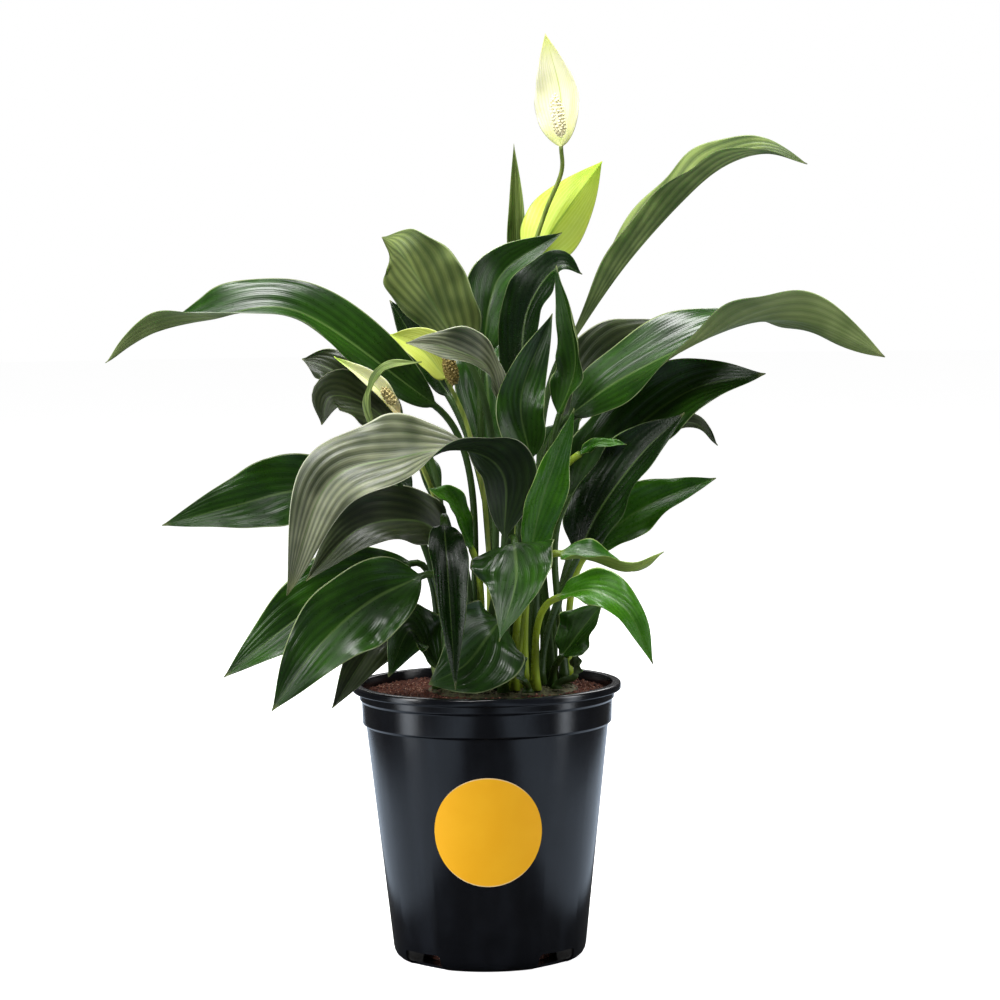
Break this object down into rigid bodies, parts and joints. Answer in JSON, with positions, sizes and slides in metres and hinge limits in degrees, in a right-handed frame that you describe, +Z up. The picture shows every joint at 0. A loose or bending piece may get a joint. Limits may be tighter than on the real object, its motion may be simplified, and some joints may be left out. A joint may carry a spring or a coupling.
{
  "type": "potted peace lily",
  "caption": "Leafy flowering house plant in a round black nursery pot: long glossy arching leaves on slender stalks, with pale hooded flowers above the foliage.",
  "frame": {"origin": "centre of the pot's flat underside, on the surface that it stands on", "axes": "+Z up along the pot's axis, -Y the front with the round label, +X to the right seen from the front"},
  "size_m": [0.4675, 0.2477, 0.5677],
  "materials": {
    "pot": "satin",
    "label": "satin",
    "soil": "matte",
    "crown": "matte",
    "leaf": "satin",
    "stalk": "satin",
    "spathe": "satin",
    "spadix": "matte"
  },
  "bodies": {
    "root": {"pot": "pot", "label": "label", "soil": "soil", "crown": "crown", "leaf_left_reach": "leaf", "leaf_left_low_long": "leaf", "leaf_left_upper": "leaf", "leaf_left_hooked": "leaf", "leaf_upper_left": "leaf", "leaf_upper_middle": "leaf", "leaf_rolled": "leaf", "leaf_right_arch": "leaf", "leaf_dark_curl": "leaf", "leaf_tall_right": "leaf", "leaf_front_upright": "leaf", "leaf_front_hook": "leaf", "leaf_front_arch": "leaf", "leaf_left_low": "leaf", "leaf_left_drop": "leaf", "leaf_left_drop_back": "leaf", "leaf_left_small": "leaf", "leaf_rim_curl": "leaf", "leaf_front_hanging": "leaf", "leaf_front_low": "leaf", "leaf_front_tongue": "leaf", "leaf_front_bright": "leaf", "leaf_right_small": "leaf", "leaf_right_bent": "leaf", "leaf_right_round": "leaf", "leaf_right_big": "leaf", "leaf_right_thin": "leaf", "leaf_right_back_curl": "leaf", "leaf_right_middle": "leaf", "leaf_right_reach": "leaf", "leaf_right_behind": "leaf", "leaf_right_sliver": "leaf", "leaf_thin_curl": "leaf", "leaf_behind_left": "leaf", "leaf_behind_low_left": "leaf", "leaf_inner_left": "leaf", "leaf_sprout_right": "leaf", "leaf_sprout_front": "leaf", "leaf_back_left": "leaf", "leaf_back_middle": "leaf", "leaf_back_right": "leaf", "leaf_back_low_left": "leaf", "leaf_back_low_right": "leaf", "flower_top_stalk": "stalk", "flower_top_spathe": "spathe", "flower_top_spadix": "spadix", "flower_lime_stalk": "stalk", "flower_lime_spathe": "spathe", "flower_lime_spadix": "spadix", "flower_side_stalk": "stalk", "flower_side_spathe": "spathe", "flower_side_spadix": "spadix", "flower_narrow_stalk": "stalk", "flower_narrow_spathe": "spathe", "flower_narrow_spadix": "spadix"}
  },
  "joints": []
}
